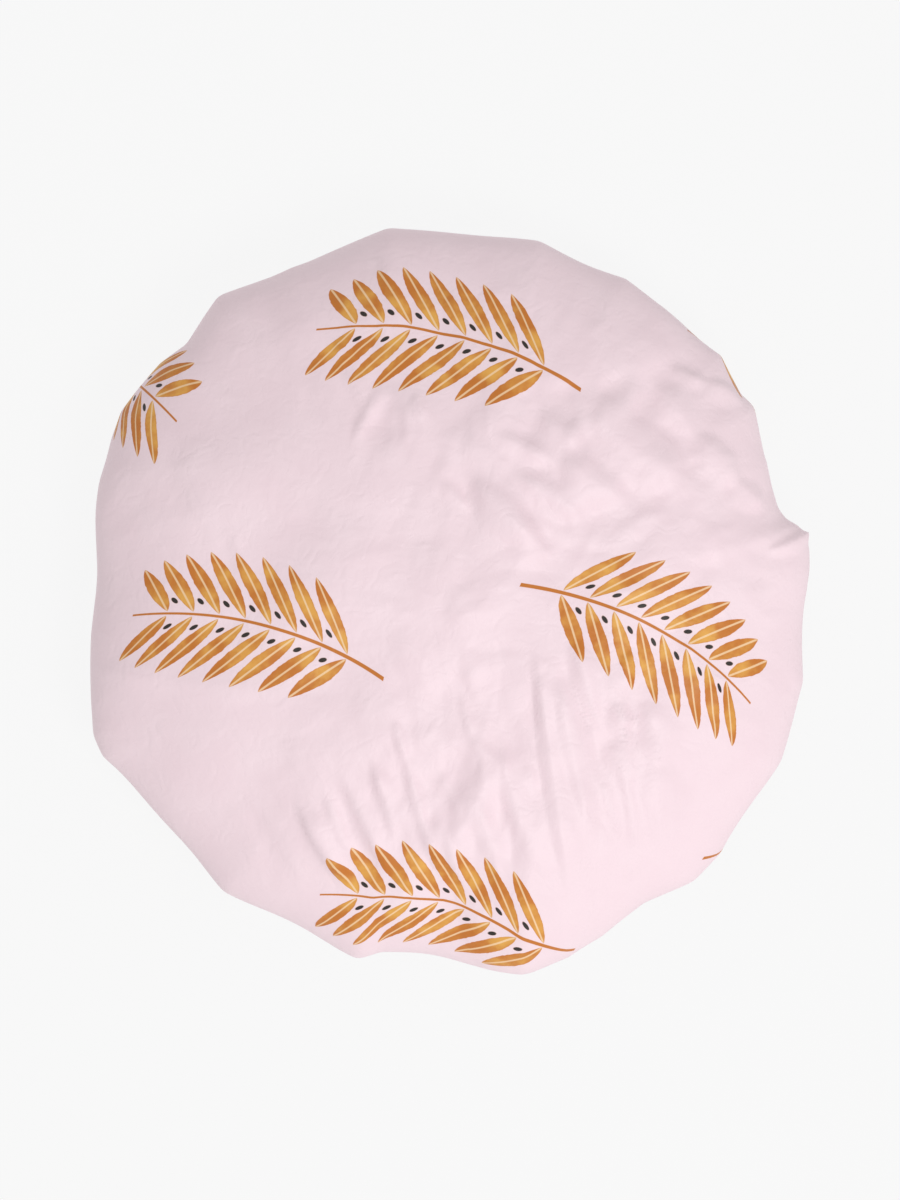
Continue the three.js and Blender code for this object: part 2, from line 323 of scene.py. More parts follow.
@dataclass(frozen=True)
class Fold:
    """One fold of the crown as seen from above: a crest line with two flanks, in millimetres."""

    start: Point
    end: Point
    rise: float
    shade: float  # width of the flank that turns from the light
    lit: float  # width of the flank that turns to the light
    bow: float = 0.0  # how far the crest bends to the lit side at its middle
    crest: Crest = Crest.CREASE

    def lift(self, x: Array, y: Array, total: Array) -> None:
        """Add the fold to a cloth's lift.

        Args:
            x: Places across the cap, in millimetres.
            y: Places along the cap, in millimetres.
            total: The lift at each place, in millimetres, which the fold adds to.
        """
        run = np.subtract(self.end, self.start)
        length = math.hypot(*run)
        run = run / length
        aside = np.array([-run[1], run[0]])
        if aside @ LIGHT_SIDE < 0:
            aside = -aside
        reach = length / 2 + 3 * max(self.shade, self.lit) + abs(self.bow)
        middle = np.add(self.start, self.end) / 2
        near = np.flatnonzero((np.abs(x - middle[0]) < reach) & (np.abs(y - middle[1]) < reach))
        east, north = x[near] - self.start[0], y[near] - self.start[1]
        share = (east * run[0] + north * run[1]) / length
        off = east * aside[0] + north * aside[1] - self.bow * 4 * share * (1 - share)
        inside = np.clip(share, 0, 1)
        spindle = 0.35 + 0.65 * np.sin(math.pi * inside)
        width = np.where(off < 0, self.shade, self.lit) * spindle
        window = smooth((share + 0.05) / 0.35) * smooth((1.05 - share) / 0.35)
        total[near] += self.rise * window * self.crest.profile(off / width)


CROWN_FOLDS = (
    # long pleats that run down to the front
    Fold((32, -20), (45, -113), 4.0, 3.0, 12),
    Fold((40, -30), (53, -90), 2.8, 2.8, 6),
    Fold((46, -16), (56, -50), 2.8, 3.2, 6),
    Fold((59, -24), (67, -56), 2.8, 3.8, 4),
    Fold((69, -20), (66, -36), 1.8, 3.4, 3),
    Fold((59, -39), (71, -50), 1.6, 2.2, 2.0),
    Fold((73, -40), (80, -64), 2.8, 4.2, 7),
    Fold((77, -60), (81, -96), 2.4, 5, 8),
    Fold((66, -47), (67, -78), 1.6, 2.2, 2.5),
    Fold((62, -54), (65, -68), 1.7, 4, 2.5),
    Fold((54, -64), (66, -92), 1.2, 2, 3),
    Fold((67, -74), (71, -97), 1.1, 2, 3),
    Fold((89, -12), (96, -42), 1.9, 3.2, 5),
    Fold((99, -26), (103, -46), 1.5, 3, 5),
    # the fan of pleats beside them, on the left
    Fold((-59, -78), (-39, -111), 3.4, 2.2, 6),
    Fold((-49, -72), (-33, -108), 2.4, 2.4, 5),
    Fold((-42, -66), (-22, -108), 2.8, 3.4, 6),
    Fold((-30, -60), (-20, -94), 1.9, 2.0, 3.5),
    Fold((-21, -46), (-17, -62), 1.8, 2.0, 3),
    Fold((-18, -58), (-2, -108), 2.3, 2.4, 4, -1),
    Fold((-4, -66), (4, -84), 1.7, 4, 3),
    Fold((-7, -76), (6, -112), 2.8, 3.0, 6),
    Fold((4, -35), (8, -54), 1.2, 1.6, 3),
    Fold((7, -53), (24, -66), 1.1, 2.0, 3),
    Fold((10, -76), (19, -106), 1.8, 3.2, 6),
    Fold((20, -60), (27, -92), 1.5, 2.6, 5),
    # slanting folds over the middle
    Fold((16, 62), (41, 51), 2.8, 3.0, 4.5),
    Fold((33, 70), (50, 58), 2.6, 5, 6, 0, Crest.ROUND),
    Fold((42, 53), (68, 37), 4.2, 5, 8, 1.5),
    Fold((25, 47), (50, 31), 3.0, 4.2, 6),
    Fold((8, 46), (36, 20), 4.0, 4.6, 7, 2),
    Fold((-4, 44), (8, 33), 1.6, 2.2, 3),
    # broad crumples towards the right
    Fold((56, 82), (68, 72), -2.4, 8, 6, 0, Crest.ROUND),
    Fold((54, 66), (92, 44), 5.0, 9, 10, 1),
    Fold((78, 84), (95, 60), 2.6, 5, 7),
    Fold((94, 63), (110, 43), 3.2, 4.6, 7),
    Fold((108, 45), (120, 34), 2.4, 4, 5),
    Fold((84, 88), (99, 82), 2.2, 3.6, 4),
    Fold((99, 84), (113, 74), 2.2, 3.4, 4),
    # the pinch at the right edge, and the hollow beside it
    Fold((141, 26), (121, 17), 2.6, 1.5, 3.5),
    Fold((120, 22), (119, 2), -1.7, 9, 4.5, 0, Crest.ROUND),
    # creases behind the middle
    Fold((-43, 98), (-41, 86), 1.0, 2, 3),
    Fold((-41, 88), (-31, 72), 1.5, 2.3, 3.5),
    Fold((-27, 78), (-37, 59), 2.0, 2.0, 3.2),
    Fold((-14, 77), (-10, 66), 1.5, 1.8, 3),
    Fold((-31, 78), (-17, 77), 0.8, 2, 2),
    Fold((-27, 132), (-18, 104), 1.3, 3, 4),
    Fold((0, 117), (8, 85), 1.5, 4.5, 5),
    # a broad fold at the left, and the creases of the packing
    Fold((-137, -28), (-72, -36), 1.6, 9, 7, 0, Crest.ROUND),
    Fold((-84, 27), (-78, 9), 0.9, 2.5, 3),
    Fold((-11, 64), (-11, -18), 0.4, 10, 10),
    Fold((-32, 58), (6, 64), 0.35, 8, 8),
)


@dataclass(frozen=True)
class Crumples:
    """Small creases that a thin coated cloth keeps, strewn more densely in a few places."""

    count: int = 1100
    seed: int = 11
    reach: float = 134.0  # radius over which they are strewn, mm
    quiet: float = 0.25  # how many stay where the cloth is calm
    length: float = 19.0  # of a middling crease, mm
    steep: Point = (0.05, 0.25)  # slopes of their flanks
    heading: float | None = None  # degrees, where they all lie much the same way
    fan: float = 0.0  # degrees by which that way turns for each mm across
    busy: tuple[tuple[float, float, float, float], ...] = (
        (15, -72, 50, 0.8),
        (78, 52, 44, 0.8),
        (-12, 78, 38, 0.6),
        (30, 40, 34, 0.7),
    )  # places with more of them: x, y, radius in mm and strength

    def density(self, x: Array, y: Array) -> Array:
        """Find how much of the strewing stays.

        Args:
            x: Places across the cap, in millimetres.
            y: Places along the cap, in millimetres.

        Returns:
            The share that stays at each place, from 0 to 1.
        """
        total = np.full_like(x, self.quiet)
        for east, north, radius, strength in self.busy:
            total = total + strength * np.exp(-((x - east) ** 2 + (y - north) ** 2) / radius**2)
        return np.clip(total, 0, 1)

    def creases(self) -> list[Fold]:
        """Strew the creases.

        Returns:
            The creases, the same ones each time.
        """
        draw = np.random.default_rng(self.seed)
        radius = self.reach * np.sqrt(draw.random(self.count))
        around = draw.random(self.count) * math.tau
        x, y = radius * np.cos(around), radius * np.sin(around)
        share = self.density(x, y)
        way = draw.random(self.count) * math.pi
        radial = draw.random(self.count) < 0.4
        way = np.where(radial, around + draw.normal(0, 0.4, self.count), way)
        if self.heading is not None:
            way = np.radians(self.heading + self.fan * x + draw.normal(0, 7, self.count))
        length = self.length * draw.lognormal(0, 0.45, self.count)
        width = length * draw.uniform(0.09, 0.24, self.count)
        rise = width * draw.uniform(*self.steep, self.count) * draw.choice([-1, 1], self.count)
        rise = rise * np.sqrt(share)
        east, north = 0.5 * length * np.cos(way), 0.5 * length * np.sin(way)
        kept = np.flatnonzero(draw.random(self.count) < share)
        bow = draw.normal(0, 0.05, self.count) * length
        return [
            Fold((x[i] - east[i], y[i] - north[i]), (x[i] + east[i], y[i] + north[i]),
                 rise[i], width[i], width[i], bow[i])
            for i in kept
        ]


FRONT_PLEATS = Crumples(
    count=130, seed=21, quiet=0.0, length=38.0, steep=(0.12, 0.4), heading=-80.0, fan=-0.3,
    busy=((12, -84, 40, 1.0), (-42, -92, 24, 0.9), (62, -58, 26, 0.7)),
)


@dataclass(frozen=True)
class Swells:
    """Long low waves over the whole cloth, which no table-flat sheet lacks."""

    count: int = 14
    seed: int = 5
    lengths: Point = (45.0, 110.0)  # shortest and longest wave, mm
    rise: float = 0.3

    def height(self, x: Array, y: Array) -> Array:
        """Find how far the waves lift the cloth.

        Args:
            x: Places across the cap, in millimetres.
            y: Places along the cap, in millimetres.

        Returns:
            The lift at each place, in millimetres.
        """
        draw = np.random.default_rng(self.seed)
        lift = np.zeros_like(x)
        for _ in range(self.count):
            heading, phase = draw.random(2) * math.tau
            wave = math.tau / draw.uniform(*self.lengths)
            lift += self.rise * np.cos(wave * (x * math.cos(heading) + y * math.sin(heading)) + phase)
        return lift


@dataclass(frozen=True)
class Gathers:
    """The pleats that the elastic draws in: many at the hem, fewer and wider towards the rim."""

    hem_count: int = 64
    belly_count: int = 36
    rim_count: int = 17
    hem_depth: float = 8.0  # mm
    belly_depth: float = 9.0
    rim_depth: float = 0.6
    ruffle_count: int = 64
    ruffle_depth: float = 0.35  # of the binding's flat edge

    @staticmethod
    def pleats(angle: Array, count: int, shift: float) -> Array:
        """Draw uneven pleats round the cap.

        Args:
            angle: Angles round the cap.
            count: The number of pleats.
            shift: Sets apart the unevenness of one row of pleats from another's.

        Returns:
            1 in the depth of a pleat and 0 on its crest.
        """
        drift = 0.9 * np.sin(3 * angle + shift) + 0.7 * np.sin(7 * angle + 2.3 * shift)
        depth = 0.72 + 0.28 * np.sin(5 * angle + 1.7 * shift)
        return depth * (0.5 + 0.5 * np.cos(count * angle + drift + shift))

    def height(self, station: Array, angle: Array) -> Array:
        """Find how far the pleats draw the cloth in.

        Args:
            station: Where each point lies between the top and the cut edge.
            angle: Its angle round the cap.

        Returns:
            The depth in millimetres, as a negative lift.
        """
        hem = self.pleats(angle, self.hem_count, 1.0) * swell(station, 1.3, 1.72, 2.0)
        belly = self.pleats(angle, self.belly_count, 2.1) * swell(station, 0.95, 1.42, 1.95)
        rim = self.pleats(angle, self.rim_count, 4.2) * swell(station, 0.6, 1.02, 1.6)
        return -(self.hem_depth * hem + self.belly_depth * belly + self.rim_depth * rim)

    def ruffle(self, angle: Array) -> Array:
        """Find how far the hem's flat edge waves up, in millimetres."""
        return self.ruffle_depth * self.pleats(angle, self.ruffle_count, 0.4)


@dataclass
class ClothDisc:
    """A disc of cloth, cut flat and gathered into the cap's form."""

    name: str
    node: str
    slot: Slot
    form: CapForm
    gathers: Gathers
    crown_rings: int
    skirt_rings: int
    wall: float  # mm
    depth_crown: float = 0.0  # how far under the form it lies on the crown, mm
    depth_hem: float = 0.0  # the same in the binding
    folds: tuple[Fold, ...] = ()
    crumples: tuple[Crumples, ...] = ()
    swells: Swells | None = None
    play: Point = (2.9, 6.0)  # the most that folds sink and rise, mm
    busy: Point = (0.2, -0.1)  # where the net is closest, as shares of the half width and length

    @property
    def cut_radius(self) -> float:
        """Radius that the disc was cut to, in metres."""
        return float(self.form.stations()[0][-1])

    @staticmethod
    def crowd(place: Array, middle: float) -> Array:
        """Draw the lines of a net together round a middle, both given from -1 to 1."""
        return place - CROWDING * np.sin(math.pi * (place - middle)) * (1 - place**2)

    def cut(self) -> bpy.types.Object:
        """Cut the flat disc: a square net drawn round, with rings added out to its edge.

        Returns:
            The flat mesh, whose middle is on the origin.
        """
        lengths, station = self.form.stations()
        rim = float(np.interp(1.0, station, lengths))
        bpy.ops.object.select_all(action="DESELECT")
        squares = 2 * self.crown_rings
        bpy.ops.mesh.primitive_grid_add(
            x_subdivisions=squares, y_subdivisions=squares, size=2, calc_uvs=False
        )
        disc = bpy.context.object
        disc.name = self.name
        points = read_points(disc)
        a, b = self.crowd(points[:, 0], self.busy[0]), self.crowd(points[:, 1], self.busy[1])
        ring = np.maximum(np.abs(a), np.abs(b))
        sideways = np.abs(a) >= np.abs(b)
        safe = np.where(ring > 0, np.where(sideways, a, b), 1)
        turn = np.where(sideways, math.pi / 4 * b / safe, math.pi / 2 - math.pi / 4 * a / safe)
        signed = np.where(sideways, a, b) * rim
        write_points(disc, np.stack([signed * np.cos(turn), signed * np.sin(turn), np.zeros_like(a)], 1))
        bpy.ops.object.mode_set(mode="EDIT")
        bpy.ops.mesh.select_all(action="DESELECT")
        bpy.ops.mesh.select_non_manifold(
            use_wire=False, use_multi_face=False, use_non_contiguous=False, use_verts=False
        )
        radii = np.linspace(rim, lengths[-1], self.skirt_rings + 1)
        for inner, outer in zip(radii[:-1], radii[1:]):
            bpy.ops.mesh.extrude_edges_move()
            growth = outer / inner
            bpy.ops.transform.resize(value=(growth, growth, 1), center_override=(0, 0, 0))
        bpy.ops.object.mode_set(mode="OBJECT")
        return disc

    def chart(self, disc: bpy.types.Object) -> None:
        """Keep the flat cloth's own places as a map, so that a print follows the cloth.

        Args:
            disc: The flat mesh.
        """
        flat = read_points(disc)[:, :2] / (2 * self.cut_radius) + 0.5
        corner = np.zeros(len(disc.data.loops), np.int32)
        disc.data.loops.foreach_get("vertex_index", corner)
        layer = disc.data.uv_layers.new(name=CLOTH_UV)
        layer.data.foreach_set("uv", flat[corner].astype(np.float32).ravel())

    def lift(self, station: Array, angle: Array, base: Array) -> Array:
        """Find how far the cloth stands off the smooth form.

        Args:
            station: Where each point lies between the top and the cut edge.
            angle: Its angle round the cap.
            base: Its place on the smooth form.

        Returns:
            The lift of each point along the form's normal, in metres.
        """
        x, y = base[:, 0] / MM, base[:, 1] / MM
        upper = smooth((1.0 - station) / 0.07)
        total = self.gathers.height(station, angle)
        drawn = np.zeros_like(x)
        for fold in [*self.folds, *(crease for some in self.crumples for crease in some.creases())]:
            fold.lift(x, y, drawn)
        limit = np.where(drawn < 0, *self.play)
        total = total + limit * np.tanh(drawn / limit) * upper
        if self.swells:
            total = total + self.swells.height(x, y) * smooth((2.0 - station) / 0.6)
        depth = self.depth_crown + (self.depth_hem - self.depth_crown) * smooth((station - 1.2) / 0.75)
        return (total - depth) * MM

    def build(self) -> bpy.types.Object:
        """Cut the disc, gather it into its form and give it its thickness.

        Returns:
            The finished mesh.
        """
        disc = self.cut()
        self.chart(disc)
        flat = read_points(disc)
        lengths, stations = self.form.stations()
        station = np.interp(np.hypot(flat[:, 0], flat[:, 1]), lengths, stations)
        angle = np.arctan2(flat[:, 1], flat[:, 0])
        base = self.form.along(station, angle)
        write_points(disc, base)
        normal = np.zeros(len(base) * 3, np.float32)
        disc.data.vertices.foreach_get("normal", normal)
        formed = base + normal.reshape(-1, 3) * self.lift(station, angle, base)[:, None]
        formed[:, 2] += self.gathers.ruffle(angle) * MM * smooth((station - 1.85) / 0.15)
        write_points(disc, formed)
        apply_modifier(disc, "SOLIDIFY", thickness=self.wall * MM, offset=-1.0)
        return disc

    def dress(self, piece: bpy.types.Object, material: bpy.types.Material) -> None:
        """Args:
            piece: The built mesh.
            material: Its material.
        """
        finish_piece(piece, self.node, material)
        width = 2 * self.cut_radius


class NodeSheet:
    """A node tree with short ways to add nodes and link them."""

    def __init__(self, tree: bpy.types.NodeTree) -> None:
        """Work on a tree."""
        self.tree = tree

    def add(self, kind: str, **settings: Any) -> bpy.types.Node:
        """Add a node.

        Args:
            kind: The node's type.
            settings: The node's own settings.

        Returns:
            The node.
        """
        node = self.tree.nodes.new(kind)
        for name, value in settings.items():
            setattr(node, name, value)
        return node

    def feed(self, socket: Socket, value: Any) -> None:
        """Link another socket to an input, or set a plain value on it.

        Args:
            socket: The input.
            value: A node's output, or a value.
        """
        if isinstance(value, bpy.types.NodeSocket):
            self.tree.links.new(value, socket)
        else:
            socket.default_value = value

    def math(self, operation: str, *values: Any) -> Socket:
        """Add a math node.

        Args:
            operation: The sum that it does.
            values: Its inputs, each a node's output or a value.

        Returns:
            Its result.
        """
        node = self.add("ShaderNodeMath", operation=operation)
        for socket, value in zip(node.inputs, values):
            self.feed(socket, value)
        return node.outputs[0]

    def step(self, value: Any, low: float, high: float) -> Socket:
        """Ease a value from 0 to 1.

        Args:
            value: A node's output or a value.
            low: Where the result is 0.
            high: Where the result is 1.

        Returns:
            The eased value.
        """
        node = self.add("ShaderNodeMapRange", interpolation_type="SMOOTHSTEP", clamp=True)
        self.feed(node.inputs["Value"], value)
        node.inputs["From Min"].default_value = low
        node.inputs["From Max"].default_value = high
        return node.outputs["Result"]

    def mix(self, share: Any, first: Any, second: Any) -> Socket:
        """Mix two colours.

        Args:
            share: How much of the second colour there is, from 0 to 1.
            first: The first colour.
            second: The second colour.

        Returns:
            The mixed colour.
        """
        node = self.add("ShaderNodeMix", data_type="RGBA")
        self.feed(node.inputs["Factor"], share)
        self.feed(node.inputs[6], first)
        self.feed(node.inputs[7], second)
        return node.outputs[2]

    def noise(self, vector: Any, scale: float, detail: float = 2.0, distortion: float = 0.0) -> Socket:
        """Add a noise texture.

        Args:
            vector: The places at which it is read.
            scale: How many of its lumps lie in one unit.
            detail: How many finer layers it has.
            distortion: How far it is twisted.

        Returns:
            Its value, from 0 to 1.
        """
        node = self.add("ShaderNodeTexNoise")
        self.feed(node.inputs["Vector"], vector)
        node.inputs["Scale"].default_value = scale
        node.inputs["Detail"].default_value = detail
        node.inputs["Distortion"].default_value = distortion
        return node.outputs["Fac"]


def colour(red: int, green: int, blue: int) -> tuple[float, float, float, float]:
    """Turn a colour as it is seen on a screen into the shader's linear values.

    Args:
        red: The colour's red, from 0 to 255.
        green: Its green.
        blue: Its blue.

    Returns:
        The linear red, green and blue, and full cover.
    """
    parts = []
    for part in (red, green, blue):
        share = part / 255
        parts.append(share / 12.92 if share <= 0.04045 else ((share + 0.055) / 1.055) ** 2.4)
    return parts[0], parts[1], parts[2], 1.0


def new_group(name: str, inputs: Sequence[tuple[str, str]], outputs: Sequence[tuple[str, str]]) -> NodeSheet:
    """Make an empty shader node group.

    Args:
        name: The group's name.
        inputs: The name and socket type of each input.
        outputs: The name and socket type of each output.

    Returns:
        The group's tree, with its input and output nodes in place.
    """
    tree = bpy.data.node_groups.new(name, "ShaderNodeTree")
    for label, kind in inputs:
        tree.interface.new_socket(label, in_out="INPUT", socket_type=kind)
    for label, kind in outputs:
        tree.interface.new_socket(label, in_out="OUTPUT", socket_type=kind)
    sheet = NodeSheet(tree)
    sheet.add("NodeGroupInput")
    sheet.add("NodeGroupOutput")
    return sheet


FLOAT, VECTOR, COLOUR = "NodeSocketFloat", "NodeSocketVector", "NodeSocketColor"


class CrinkleGroup:
    """The fine crinkle of a thin coated sheet: creases that meet at angles, and a faint grain."""

    NAME = "fine_crinkle"

    @classmethod
    def tree(cls) -> bpy.types.NodeTree:
        """Build the group, unless it is there already.

        Returns:
            The group.
        """
        if cls.NAME in bpy.data.node_groups:
            return bpy.data.node_groups[cls.NAME]
        inputs, outputs = [("Place", VECTOR), ("Scale", FLOAT)], [("Height", FLOAT), ("Tone", FLOAT)]
        sheet = new_group(cls.NAME, inputs, outputs)
        enter, leave = sheet.tree.nodes["Group Input"], sheet.tree.nodes["Group Output"]
        scaled = sheet.add("ShaderNodeVectorMath", operation="SCALE")
        sheet.feed(scaled.inputs[0], enter.outputs["Place"])
        sheet.feed(scaled.inputs["Scale"], enter.outputs["Scale"])
        place = scaled.outputs[0]
        broad = sheet.noise(place, 0.5, 2.0)
        ridges = []
        for scale, share in ((1.0, 1.0), (2.3, 0.45)):
            valley = sheet.math("ABSOLUTE", sheet.math("SUBTRACT", sheet.noise(place, scale, 1.0, 0.6), 0.5))
            ridges.append(sheet.math("MULTIPLY", valley, share))
        creased = sheet.math("MULTIPLY", sheet.math("ADD", *ridges), sheet.math("ADD", broad, 0.3))
        grain = sheet.noise(place, 12.0, 2.0)
        sheet.feed(leave.inputs["Height"], sheet.math("MULTIPLY_ADD", grain, 0.03, creased))
        sheet.feed(leave.inputs["Tone"], broad)
        return sheet.tree


class WeaveGroup:
    """A plain weave: two sets of threads that pass over and under each other."""

    NAME = "plain_weave"

    @classmethod
    def tree(cls) -> bpy.types.NodeTree:
        """Build the group, unless it is there already.

        Returns:
            The group.
        """
        if cls.NAME in bpy.data.node_groups:
            return bpy.data.node_groups[cls.NAME]
        sheet = new_group(cls.NAME, [("Across", FLOAT), ("Along", FLOAT)], [("Height", FLOAT)])
        enter, leave = sheet.tree.nodes["Group Input"], sheet.tree.nodes["Group Output"]
        warp = sheet.math("SINE", sheet.math("MULTIPLY", enter.outputs["Across"], math.tau))
        weft = sheet.math("SINE", sheet.math("MULTIPLY", enter.outputs["Along"], math.tau))
        crossed = sheet.math("MULTIPLY", warp, weft)
        sheet.feed(leave.inputs["Height"], sheet.math("MULTIPLY_ADD", crossed, 0.5, 0.5))
        return sheet.tree


@dataclass(frozen=True)
class SprigPrint:
    """The cover's print: tossed leaf sprigs with small berries, all sizes in millimetres."""

    across: float = 150.0  # step of the sprigs along a row
    along: float = 110.0  # step of the rows
    start: Point = (58.0, 48.0)  # sets the rows apart from the folds, which stay bare
    length: float = 104.0
    bow: float = 9.0  # how far the stem arches
    leaf_step: float = 10.5
    leaf_length: float = 31.0
    leaf_width: float = 4.0  # half the widest place
    slant: float = 0.8  # how far a leaf leans forward for each step outwards
    stem: float = 0.8
    berry: float = 1.25
    berry_out: float = 5.2
    tilt: float = 0.35  # radians by which every other sprig turns one way or the other
    name: str = "sprig_print"

    def tree(self) -> bpy.types.NodeTree:
        """Build the print as a node group.

        Returns:
            The group, which takes a place on the flat cloth and gives the ink and its cover.
        """
        sheet = new_group(self.name, [("Cloth", VECTOR)], [("Ink", COLOUR), ("Cover", FLOAT)])
        enter, leave = sheet.tree.nodes["Group Input"], sheet.tree.nodes["Group Output"]
        do = sheet.math
        place = sheet.add("ShaderNodeSeparateXYZ")
        sheet.feed(place.inputs[0], enter.outputs["Cloth"])
        east = do("ADD", place.outputs["X"], self.start[0])
        north = do("ADD", place.outputs["Y"], self.start[1])
        row = do("FLOOR", do("DIVIDE", north, self.along))
        odd = do("PINGPONG", row, 1.0)
        pushed = do("MULTIPLY_ADD", odd, self.across / 2, east)
        column = do("FLOOR", do("DIVIDE", pushed, self.across))
        u = do("SUBTRACT", do("SUBTRACT", pushed, do("MULTIPLY", column, self.across)), self.across / 2)
        v = do("SUBTRACT", do("SUBTRACT", north, do("MULTIPLY", row, self.along)), self.along / 2)
        hand = do("MULTIPLY_ADD", do("PINGPONG", do("ADD", row, column), 1.0), -2.0, 1.0)
        turned = sheet.add("ShaderNodeVectorRotate", rotation_type="Z_AXIS")
        flat = sheet.add("ShaderNodeCombineXYZ")
        sheet.feed(flat.inputs["X"], do("MULTIPLY", u, hand))
        sheet.feed(flat.inputs["Y"], v)
        sheet.feed(turned.inputs["Vector"], flat.outputs[0])
        sheet.feed(turned.inputs["Angle"], do("MULTIPLY_ADD", hand, self.tilt, 0.12))
        own = sheet.add("ShaderNodeSeparateXYZ")
        sheet.feed(own.inputs[0], turned.outputs[0])
        x = own.outputs["X"]
        share = do("DIVIDE", x, self.length / 2)
        arch = do("MULTIPLY_ADD", do("MULTIPLY", share, share), -self.bow, self.bow / 2)
        y = do("SUBTRACT", own.outputs["Y"], arch)
        out = do("ABSOLUTE", y)
        leaned = do("MULTIPLY_ADD", out, -self.slant, x)
        index = do("FLOOR", do("DIVIDE", leaned, self.leaf_step))
        heart = do("MULTIPLY", do("ADD", index, 0.5), self.leaf_step)
        across = do("ABSOLUTE", do("SUBTRACT", leaned, heart))
        taper = do("DIVIDE", heart, self.length / 2)
        fern = do("MULTIPLY", do("SUBTRACT", 1.1, taper), do("ADD", taper, 1.5))
        size = do("MULTIPLY", do("SQRT", do("MAXIMUM", fern, 0.01)), 0.62)
        inside = do("LESS_THAN", do("ABSOLUTE", heart), self.length / 2 - self.leaf_step / 2)
        reach = do("DIVIDE", do("SUBTRACT", out, self.stem), do("MULTIPLY", size, self.leaf_length))
        belly = do("MAXIMUM", do("MULTIPLY", do("MULTIPLY", reach, do("SUBTRACT", 1.0, reach)), 4.0), 0.0)
        half = do("MULTIPLY", do("POWER", belly, 0.8), self.leaf_width)
        wobble = do("MULTIPLY_ADD", sheet.noise(enter.outputs["Cloth"], 0.35, 2.0), 1.2, -0.6)
        edge = do("ADD", do("SUBTRACT", half, across), do("MULTIPLY", wobble, belly))
        leaf = do("MULTIPLY", sheet.step(edge, 0.0, 0.3), inside)
        leaf = do("MULTIPLY", leaf, do("GREATER_THAN", belly, 0.02))
        thin = do("MULTIPLY_ADD", share, -0.25, 0.75)
        stem = do("MULTIPLY", sheet.step(do("SUBTRACT", do("MULTIPLY", thin, self.stem), out), -0.15, 0.15),
                  do("LESS_THAN", do("ABSOLUTE", x), self.length / 2))
        axil = do("MULTIPLY", do("ROUND", do("DIVIDE", leaned, self.leaf_step)), self.leaf_step)
        aside = do("SUBTRACT", leaned, axil)
        berry = do("SQRT", do("ADD", do("POWER", aside, 2.0),
                              do("POWER", do("SUBTRACT", out, self.berry_out), 2.0)))
        held = do("LESS_THAN", do("ABSOLUTE", axil), self.length / 2 - 1.5 * self.leaf_step)
        berry = do("MULTIPLY", sheet.step(do("SUBTRACT", self.berry, berry), -0.15, 0.2), held)
        amber, rust = colour(226, 167, 78), colour(196, 116, 40)
        cream, dark = colour(243, 211, 170), colour(43, 36, 31)
        blot = sheet.noise(enter.outputs["Cloth"], 0.09, 3.0)
        wash = sheet.step(do("ADD", blot, do("MULTIPLY", reach, -0.25)), 0.25, 0.6)
        ink = sheet.mix(wash, rust, amber)
        vein = sheet.step(do("SUBTRACT", 0.45, across), -0.2, 0.2)
        ink = sheet.mix(do("MULTIPLY", vein, 0.8), ink, cream)
        rim = sheet.step(do("SUBTRACT", half, across), 0.9, 0.3)
        ink = sheet.mix(do("MULTIPLY", rim, 0.35), ink, rust)
        ink = sheet.mix(stem, ink, rust)
        ink = sheet.mix(berry, ink, dark)
        sheet.feed(leave.inputs["Ink"], ink)
        sheet.feed(leave.inputs["Cover"], do("MAXIMUM", do("MAXIMUM", leaf, stem), berry))
        return sheet.tree


class Finish:
    """A material's tree with its shader, and the nodes that more than one finish starts from."""

    def __init__(self, name: str, roughness: float) -> None:
        """Make a material with a plain shader.

        Args:
            name: The material's name.
            roughness: The shader's roughness where nothing is linked to it.
        """
        self.material = bpy.data.materials.new(name)
        self.material.use_nodes = True
        self.sheet = NodeSheet(self.material.node_tree)
        self.shader = self.material.node_tree.nodes["Principled BSDF"]
        self.shader.inputs["Roughness"].default_value = roughness
        self.place = self.sheet.add("ShaderNodeTexCoord").outputs["Object"]

    def crinkle(self, scale: float) -> bpy.types.Node:
        """Place the fine crinkle.

        Args:
            scale: How many creases lie in a metre.

        Returns:
            The crinkle's node.
        """
        node = self.sheet.add("ShaderNodeGroup", node_tree=CrinkleGroup.tree())
        self.sheet.feed(node.inputs["Place"], self.place)
        node.inputs["Scale"].default_value = scale
        return node

    def bump(self, height: Socket, depth: float, strength: float = 1.0) -> None:
        """Let a height raise the surface.

        Args:
            height: The height, from 0 to 1.
            depth: How far it raises the surface, in metres.
            strength: How much of that shows.
        """
        node = self.sheet.add("ShaderNodeBump")
        node.inputs["Strength"].default_value = strength
        node.inputs["Distance"].default_value = depth
        self.sheet.feed(node.inputs["Height"], height)
        self.sheet.feed(self.shader.inputs["Normal"], node.outputs["Normal"])

    def colour(self, value: Any) -> None:
        """Set or link the base colour."""
        self.sheet.feed(self.shader.inputs["Base Color"], value)

    def roughness(self, value: Socket) -> None:
        """Link the roughness."""
        self.sheet.feed(self.shader.inputs["Roughness"], value)


